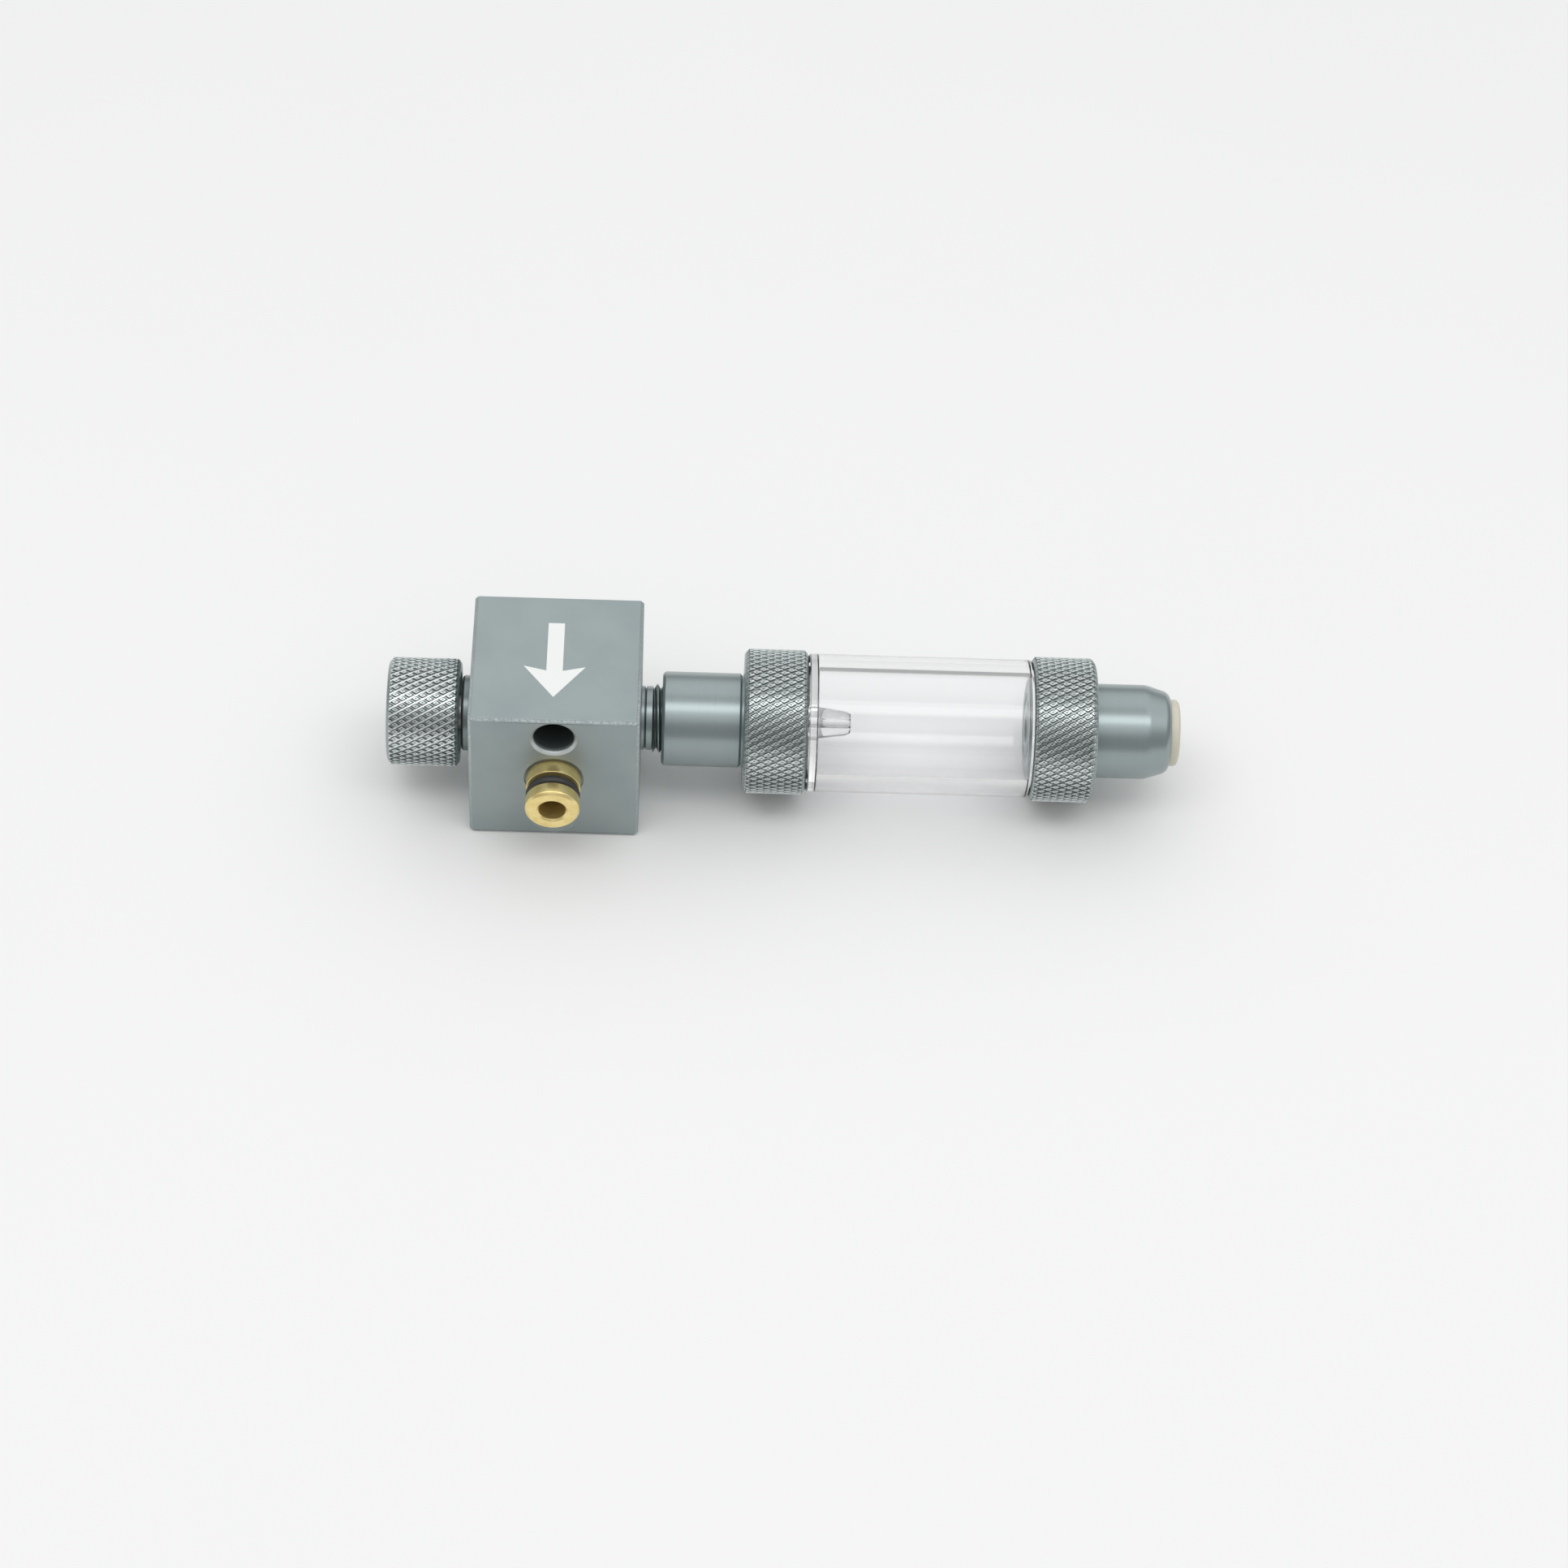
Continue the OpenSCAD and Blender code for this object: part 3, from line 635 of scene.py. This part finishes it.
def makeNipple():
    low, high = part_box("coupling_nipple")
    tip, root = low.y / mm, high.y / mm
    r = (high.x - low.x) / 2 / mm
    inner = r - nipple["step"]
    face = -halfSide - 0.05
    groove0 = -halfSide - nipple["land"]
    groove1 = groove0 - nipple["groove"]
    rear0, rear1 = (root - reach for reach in nipple["rearGroove"])
    rearRadius = inner - nipple["rearDepth"]
    bore, soft = nipple["bore"], nipple["soft"]
    profile = [(root, bore, 0), (root, inner - nipple["rootChamfer"], 0),
               (root - nipple["rootChamfer"], inner, 0), (rear0, inner, 0), (rear0, rearRadius, 0),
               (rear1, rearRadius, 0), (rear1, inner, 0), (face, inner, 0), (face, r, soft),
               (groove0, r, soft), (groove0, nipple["grooveRadius"], soft),
               (groove1, nipple["grooveRadius"], soft), (groove1, r, soft),
               (tip + nipple["tipChamfer"], r, soft), (tip, r - nipple["tipChamfer"], soft),
               (tip, bore + nipple["boreChamfer"], 0.05), (tip + nipple["boreChamfer"], bore, 0)]
    toPiece("brass_nipple", turn(profile, alongY), brass, "block", ["coupling_nipple"])


def ringOf(node, line):                         # an O-ring of its node's size
    low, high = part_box(node)
    wire = (high - low).dot(line) / 2 / mm
    middle = (low + high).dot(line) / 2 / mm
    hoop = (high.z - low.z) / 2 / mm - wire
    bm = bmesh.new()
    bmesh.ops.create_circle(bm, cap_ends=False, segments=32, radius=wire * mm)
    bmesh.ops.rotate(bm, verts=bm.verts, matrix=Matrix.Rotation(pi / 2, 3, "X"))
    if line is alongY:
        bmesh.ops.rotate(bm, verts=bm.verts, matrix=Matrix.Rotation(pi / 2, 3, "Z"))
    bmesh.ops.translate(bm, verts=bm.verts, vec=gasLine + line * middle * mm + upwards * hoop * mm)
    bmesh.ops.spin(bm, geom=bm.verts[:] + bm.edges[:], cent=gasLine, axis=line, dvec=(0, 0, 0),
                   angle=2 * pi, steps=144, use_merge=True)
    tidyShell(bm)
    return bm


makeNipple()
frontRing = ringOf("nipple_oring_front", alongY)
toPiece("nipple_ring", frontRing, rubber, "block", ["nipple_oring_front"])
print("nipple and ring turned")


# bonnet, knob and connector

knob = {"starts": 44, "chamfer": 0.5, "recessRadius": 6.1, "recess": 0.5, "boreRadius": 2.5, "boreDepth": 7.4,
        "dishRim": 5.2, "dishRadius": 5.0, "dishDepth": 0.12, "dimpleRadius": 1.2, "dimpleDepth": 0.45}
bonnet = {"threadRadius": 5.0, "groove": 4.1, "grooveWidth": 1.25, "inner": -5.25, "bore": 2.55,
          "chamfer": 0.3}


def makeBonnet():
    x0, _, r = spanX("bonnet")
    seat = -halfSide - 0.05
    grooveEnd = seat + bonnet["grooveWidth"]
    c = bonnet["chamfer"]
    profile = [(x0, bonnet["bore"], 0), (x0, r - c, 0.08), (x0 + c, r, 0.08), (seat, r, 0.06),
               (seat, bonnet["groove"], 0), (grooveEnd, bonnet["groove"], 0),
               (grooveEnd, bonnet["threadRadius"], 0), (bonnet["inner"], bonnet["threadRadius"], 0),
               (bonnet["inner"], bonnet["bore"], 0)]
    # painted shade: the bonnet's copy of the turned finish is darkened to 0.72 of its tone
    metal = anodisedTurned("anodised_bonnet_shaded", 0.72)
    toPiece("stem_bonnet", turn(profile), metal, "block", ["bonnet"])


def makeKnob():
    x0, x1, crest = spanX("needle_knob")
    c = knob["chamfer"]
    bandStart = x0 + c + 0.1
    bandEnd = x1 - c
    bm, left, right = knurledBand(bandStart, bandEnd, crest, knob["starts"])
    dish = x0 + knob["dishDepth"]
    runLoop(bm, left, [(x0 + c, crest - 0.25), (dish, crest - c - 0.12), (x0, crest - c - 0.45),
                       (x0, knob["dishRim"]), (dish, knob["dishRadius"]), (dish, knob["dimpleRadius"]),
                       (x0 + knob["dimpleDepth"], 0.0)])
    floor = x1 - knob["recess"]
    end = x1 - knob["boreDepth"]
    recess, bore = knob["recessRadius"], knob["boreRadius"]
    runLoop(bm, right, [(x1 - 0.1, crest - c + 0.02), (x1, crest - c - 0.1), (x1, recess + 0.1),
                        (x1 - 0.1, recess), (floor, recess), (floor, bore), (end, bore), (end, 0.0)])
    tidyShell(bm)
    metal = anodisedKnurl("anodised_knurl_knob", crest, knob["starts"], (bandStart + bandEnd) / 2)
    drilled = cutOut(bm, [screwHole()])
    toPiece("knurled_knob", drilled, metal, "needle", ["needle_knob"], crease=24)


def screwHole():                                # the set screw's hole in the knob's underside
    low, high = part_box("knob_set_screw")
    radius = (high.x - low.x) / 2 + 0.02 * mm
    bm = bmesh.new()
    bmesh.ops.create_cone(bm, cap_ends=True, segments=48, radius1=radius, radius2=radius, depth=10 * mm)
    bmesh.ops.translate(bm, verts=bm.verts, vec=((low.x + high.x) / 2, 0, gasHeight - 7 * mm))
    return bm


connector = {"neck": 4.75, "neckEnd": 1.85, "grooveAt": (0.6, 0.7), "grooveRadius": 4.45, "crest": 5.1,
             "root": 4.45, "pitch": 1.0, "phase": 1.86, "threadEnd": 7.0, "nose": 3.6, "bore": 1.25,
             "neckInBlock": 3.2, "seatDepth": 1.25, "shank": 4.0}


def makeConnector():
    # a helical thread cut off square at both ends, then the neck and the nose run out from its rims
    x0, x1, _ = spanX("threaded_connector")
    start = halfSide + connector["neckEnd"] - 0.05
    end = halfSide + connector["threadEnd"]
    pitch, crest, root = connector["pitch"], connector["crest"], connector["root"]
    turns = int((end - start) / pitch) + 3
    perTurn = 96
    bm = bmesh.new()
    tooth = [(0, root), (0.07, root), (0.45, crest), (0.55, crest), (0.93, root), (1, root)]
    first = start - connector["phase"] * pitch
    chain = [bm.verts.new(gasLine + Vector((first + a * pitch, 0, r)) * mm) for a, r in tooth]
    edges = [bm.edges.new(pair) for pair in zip(chain, chain[1:])]
    bmesh.ops.spin(bm, geom=chain + edges, cent=gasLine, axis=alongX, steps=perTurn * turns,
                   dvec=alongX * (pitch * mm / perTurn), angle=2 * pi * turns)
    bmesh.ops.remove_doubles(bm, verts=bm.verts, dist=0.002 * mm)
    for x, way in ((start, -1), (end, 1)):
        bmesh.ops.bisect_plane(bm, geom=bm.verts[:] + bm.edges[:] + bm.faces[:], dist=0.0001 * mm,
                               plane_co=(x * mm, 0, 0), plane_no=(way, 0, 0), clear_outer=True)
    rims = [e for e in bm.edges if e.is_boundary]
    left, right = ([e for e in rims if all(abs(v.co.x - x * mm) < 0.01 * mm for v in e.verts)]
                   for x in (start, end))
    neck, bore, nose = connector["neck"], connector["bore"], connector["nose"]
    grooveRadius = connector["grooveRadius"]
    inBlock, shank = connector["neckInBlock"], connector["shank"]
    face = halfSide + 0.05
    seat = halfSide - connector["seatDepth"]
    g0, g1 = (halfSide + g for g in connector["grooveAt"])
    left = runLoop(bm, left, [
        (start - 0.04, root - 0.03), (start - 0.1, neck - 0.05), (start - 0.15, neck), (g1 + 0.1, neck),
        (g1, grooveRadius), (g0, grooveRadius), (g0 - 0.1, neck), (face, neck), (face, inBlock),
        (seat, inBlock), (seat, shank), (x0, shank), (x0, bore)])
    right = runLoop(bm, right, [(end, nose), (x1 - 0.3, nose), (x1, nose - 0.3), (x1, bore)])
    bmesh.ops.bridge_loops(bm, edges=left + right)
    tidyShell(bm)
    # painted shade in the thread roots and the neck's groove, below radius 4.6
    metal = anodisedTurned("anodised_thread", 1.0, 4.6)
    toPiece("threaded_neck", bm, metal, "block", ["threaded_connector"])


makeBonnet()
makeKnob()
makeConnector()
print("bonnet, knob and connector turned")


# counter base and collars

sleeve = {"radius": 7.0, "cup": 5.15, "nose": 3.65, "chamfer": 0.4, "spigot": 5.5, "ringDepth": 0.95,
          "markDepth": 0.33, "room": 3.3, "bore": 1.25, "retainer": 3.85, "wayOut": 2.5}
collar = {"starts": 57, "wall": 1.95, "backChamfer": 0.7, "mouthChamfer": 0.5, "sleeveBore": 7.06,
          "threadBore": 9.08}


def makeSleeve():
    x0, x1, flange = spanX("counter_base")
    r, cup, nose, spigot = (sleeve[part] for part in ("radius", "cup", "nose", "spigot"))
    room, bore, retainer, out = (sleeve[part] for part in ("room", "bore", "retainer", "wayOut"))
    c = sleeve["chamfer"]
    body = r - 0.02
    mark = spanX("lower_collar")[0] - 0.3       # a turned line just before the collar
    flangeStart, flangeEnd = x1 - 5.95, x1 - 4.45
    ringStart, ringEnd, ringRadius = x1 - 3, x1 - 1.3, spigot - sleeve["ringDepth"]
    cupEnd, seal, noseEnd = halfSide + 8.2, halfSide + 9.4, halfSide + 11.5
    seal0, seal1, sealRadius = seal - 0.75, seal + 0.75, nose + 1.05
    roomStart, roomEnd = noseEnd + 1.3, x1 - 4.82
    profile = [(x0, cup, 0.06), (x0, r - c, 0.08), (x0 + c, r, 0.12), (mark - 0.28, r, 0.05),
               (mark - 0.02, r - sleeve["markDepth"], 0.05), (mark + 0.14, r - sleeve["markDepth"], 0.03),
               (mark + 0.16, body, 0.05), (flangeStart, body, 0), (flangeStart, flange, 0.06),
               (flangeEnd, flange, 0.06), (flangeEnd, spigot, 0), (ringStart, spigot, 0.06),
               (ringStart, ringRadius, 0), (ringEnd, ringRadius, 0), (ringEnd, spigot, 0.06),
               (x1, spigot, 0.15), (x1, out, 0.05), (x1 - 2.5, out, 0), (x1 - 2.5, retainer, 0),
               (roomEnd, retainer, 0), (roomEnd, room, 0), (roomStart, room, 0), (roomStart, bore, 0),
               (noseEnd, bore, 0), (noseEnd, nose, 0), (seal1, nose, 0), (seal1, sealRadius, 0),
               (seal0, sealRadius, 0), (seal0, nose, 0), (cupEnd, nose, 0), (cupEnd, cup, 0)]
    toPiece("counter_sleeve", turn(profile), turnedMetal, "counter", ["counter_base"])


def makeCollar(name, node, back, way, body):
    # back is the x of the closed face, and way points from there to the threaded mouth
    x0, x1, crest = spanX(node)
    mouth = back + way * (x1 - x0)
    backEdge = back + way * collar["backChamfer"]
    mouthEdge = mouth - way * collar["mouthChamfer"]
    bandStart, bandEnd = min(backEdge, mouthEdge), max(backEdge, mouthEdge)
    bm, left, right = knurledBand(bandStart, bandEnd, crest, collar["starts"])
    metal = anodisedKnurl(name + "_metal", crest, collar["starts"], (backEdge + mouthEdge) / 2)
    atBack, atMouth = (left, right) if way > 0 else (right, left)
    wall = back + way * collar["wall"]
    backRim = crest - collar["backChamfer"]
    mouthRim = crest - collar["mouthChamfer"]
    sleeveBore, threadBore = collar["sleeveBore"], collar["threadBore"]
    atBack = runLoop(bm, atBack, [
        (back + way * 0.15, backRim + 0.1), (back, backRim - 0.1), (back, sleeveBore + 0.12),
        (back + way * 0.12, sleeveBore), (wall, sleeveBore), (wall, threadBore)])
    atMouth = runLoop(bm, atMouth, [
        (mouth - way * 0.1, mouthRim + 0.03), (mouth, mouthRim - 0.1), (mouth, threadBore + 0.15),
        (mouth - way * 0.15, threadBore)])
    bmesh.ops.bridge_loops(bm, edges=atBack + atMouth)
    tidyShell(bm)
    toPiece(name, bm, metal, body, [node], crease=24)


spring = {"wire": 0.35, "turns": 3, "lift": 1.0}


def makeSpring():                               # the check valve's spring, which the poppet squeezes as it lifts; coiled here at its node's length
    x0, x1, outer = spanX("check_spring")
    wire = spring["wire"] / 2
    length = x1 - x0
    steps = 32 * spring["turns"]
    bm = bmesh.new()
    bmesh.ops.create_circle(bm, cap_ends=False, segments=12, radius=wire * mm)
    bmesh.ops.rotate(bm, verts=bm.verts, matrix=Matrix.Rotation(pi / 2, 3, "X"))
    bmesh.ops.translate(bm, verts=bm.verts, vec=gasLine + Vector((x0 + wire, 0, outer - wire)) * mm)
    bmesh.ops.spin(bm, geom=bm.verts[:] + bm.edges[:], cent=gasLine, axis=alongX, steps=steps,
                   dvec=alongX * ((length - 2 * wire) * mm / steps), angle=2 * pi * spring["turns"])
    bmesh.ops.holes_fill(bm, edges=[e for e in bm.edges if e.is_boundary], sides=0)
    tidyShell(bm)
    coil = toPiece("return_spring", bm, steel, "counter", ["check_spring"])
    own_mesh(coil)


makeSleeve()
makeSpring()
makeCollar("lower_nut", "lower_collar", spanX("lower_collar")[0], 1, "lower_collar")
makeCollar("upper_nut", "upper_collar", spanX("upper_collar")[1], -1, "upper_collar")
print("sleeve and collars turned")


# clear chamber and jet

chamber = {"thread": 9.0, "bore": 7.75, "socket": 5.55, "jetHole": 1.81, "floor": 1.45, "edge": 0.35,
           "soft": 0.12}
jet = {"shank": 1.8, "tip": 1.8, "bore": 0.5, "length": 5.1, "land": 0.8, "tipChamfer": 0.35}


def makeChamber():
    x0, x1, r = spanX("bubble_chamber")
    left, right = spanX("lower_collar")[1] + 0.05, spanX("upper_collar")[0] - 0.05
    floor = left - 0.05 + chamber["floor"]
    spigotEnd = spanX("counter_base")[1] + 0.5
    thread, bore, edge, soft = (chamber[part] for part in ("thread", "bore", "edge", "soft"))
    profile = [(x0, chamber["socket"], 0), (x0, thread, soft), (left, thread, soft), (left, r - edge, 0.05),
               (left + edge, r, soft), (right - edge, r, soft), (right, r - edge, 0.05),
               (right, thread, soft), (x1, thread, soft), (x1, bore, soft), (floor, bore, 0.3),
               (floor, chamber["jetHole"], 0), (spigotEnd, chamber["jetHole"], 0),
               (spigotEnd, chamber["socket"], 0)]
    toPiece("clear_chamber", turn(profile, steps=192), acrylic, "counter", ["bubble_chamber"])


def makeJet():
    x0, x1, root = spanX("bubble_jet")
    rootX = x1 - jet["length"]
    profile = [(x0, jet["bore"], 0), (x0, jet["shank"], 0), (rootX, jet["shank"], 0), (rootX, root, 0.15),
               (x1 - jet["land"], jet["tip"], 0.12), (x1, jet["tip"] - jet["tipChamfer"], 0.1),
               (x1, jet["bore"], 0.05)]
    toPiece("bubble_nozzle", turn(profile, steps=96), hazedAcrylic, "counter", ["bubble_jet"])


makeChamber()
makeJet()
print("chamber and jet turned")


# outlet and collet

outlet = {"radius": 7.0, "cone": 2.9, "coneRadius": 6.1, "lip": 0.7, "lipRadius": 5.05, "barrel": 3.9,
          "hose": 3.05, "hoseDepth": 13, "gasWay": 2.0, "plug": 7.65, "ringDepth": 1.15, "headDepth": 1.95}
collet = {"bore": 3.05, "barrel": 3.85, "head": 2.3}


def makeOutlet():
    x0, x1, flange = spanX("outlet_body")
    flangeEnd = spanX("upper_collar")[1] - 2.5
    flangeStart = flangeEnd - 1.5
    gas, plug, r, hose = (outlet[part] for part in ("gasWay", "plug", "radius", "hose"))
    barrel, lip, cone = (outlet[part] for part in ("barrel", "lipRadius", "coneRadius"))
    ring0, ring1, ringRadius = x0 + 1.6, x0 + 3.3, plug - outlet["ringDepth"]
    line = x0 + 0.18                            # a shallow turned line in the plug's face
    coneEnd = x1 - outlet["lip"]
    coneStart = coneEnd - outlet["cone"]
    seal, grab = x1 - 9.2, x1 - 7.15
    seal0, seal1, sealRadius = seal - 1.1, seal + 1.1, hose + 1.55
    grab0, grab1, grabRadius = grab - 0.35, grab + 0.95, 5
    shoulder = hose + 0.4
    head = x1 - outlet["headDepth"]
    end = x1 - outlet["hoseDepth"]
    profile = [(x0 + 0.6, gas, 0), (x0, gas + 0.6, 0.08), (x0, 4.2, 0.04), (line, 4.4, 0.04),
               (line, 5.2, 0.04), (x0, 5.4, 0.04), (x0, plug - 0.3, 0.06), (x0 + 0.3, plug, 0.08),
               (ring0, plug, 0.05), (ring0, ringRadius, 0), (ring1, ringRadius, 0), (ring1, plug, 0.05),
               (flangeStart, plug, 0), (flangeStart, flange, 0.06), (flangeEnd, flange, 0.06),
               (flangeEnd, r, 0), (coneStart, r, 0.5), (coneEnd, cone, 0.25), (x1 - 0.2, cone - 0.4, 0.12),
               (x1, lip + 0.3, 0.1), (x1, lip, 0.08), (head, lip, 0), (head, barrel, 0.05),
               (grab1, barrel, 0), (grab1, grabRadius, 0), (grab0, grabRadius, 0), (grab0, shoulder, 0),
               (seal1, shoulder, 0), (seal1, sealRadius, 0), (seal0, sealRadius, 0), (seal0, hose, 0),
               (end, hose, 0), (end, gas, 0)]
    toPiece("hose_outlet_body", turn(profile), turnedMetal, "counter", ["outlet_body"])


def makeCollet():
    x0, x1, r = spanX("release_collet")
    bore, barrel = collet["bore"], collet["barrel"]
    head = x1 - collet["head"]
    profile = [(x0, bore, 0), (x0, bore + 0.4, 0), (x0 + 0.4, barrel, 0), (head, barrel, 0), (head, r, 0.1),
               (x1 - 0.35, r, 0.25), (x1, r - 0.45, 0.22), (x1, bore + 0.5, 0.15), (x1 - 0.5, bore, 0.15)]
    toPiece("hose_collet", turn(profile), ivory, "collet", ["release_collet"])


makeOutlet()
makeCollet()
print("outlet and collet turned")


# pieces that stay as the CAD made them

keptFinish = {"rubber": rubber, "brass": brass, "steel": steel, "ptfe": slipWhite}


def finishKeptNodes():
    slots = {part["node"]: part["material_slot"] for part in frame["record"]["subparts"]}
    for name, node in nodes.items():
        if node.hide_render:
            continue
        node.data.materials.clear()
        node.data.materials.append(keptFinish[slots[name]])


finishKeptNodes()


# floor

def layFloor():
    bm = bmesh.new()
    bmesh.ops.create_grid(bm, x_segments=1, y_segments=1, size=3.0)
    bmesh.ops.translate(bm, verts=bm.verts, vec=upwards * -0.02 * mm)     # just clear of the block's base
    mesh = bpy.data.meshes.new("floor")
    bm.to_mesh(mesh)
    bm.free()
    mesh.materials.append(paleFloor())
    floor = bpy.data.objects.new("floor", mesh)
    bpy.context.collection.objects.link(floor)


layFloor()
print("scene finished")
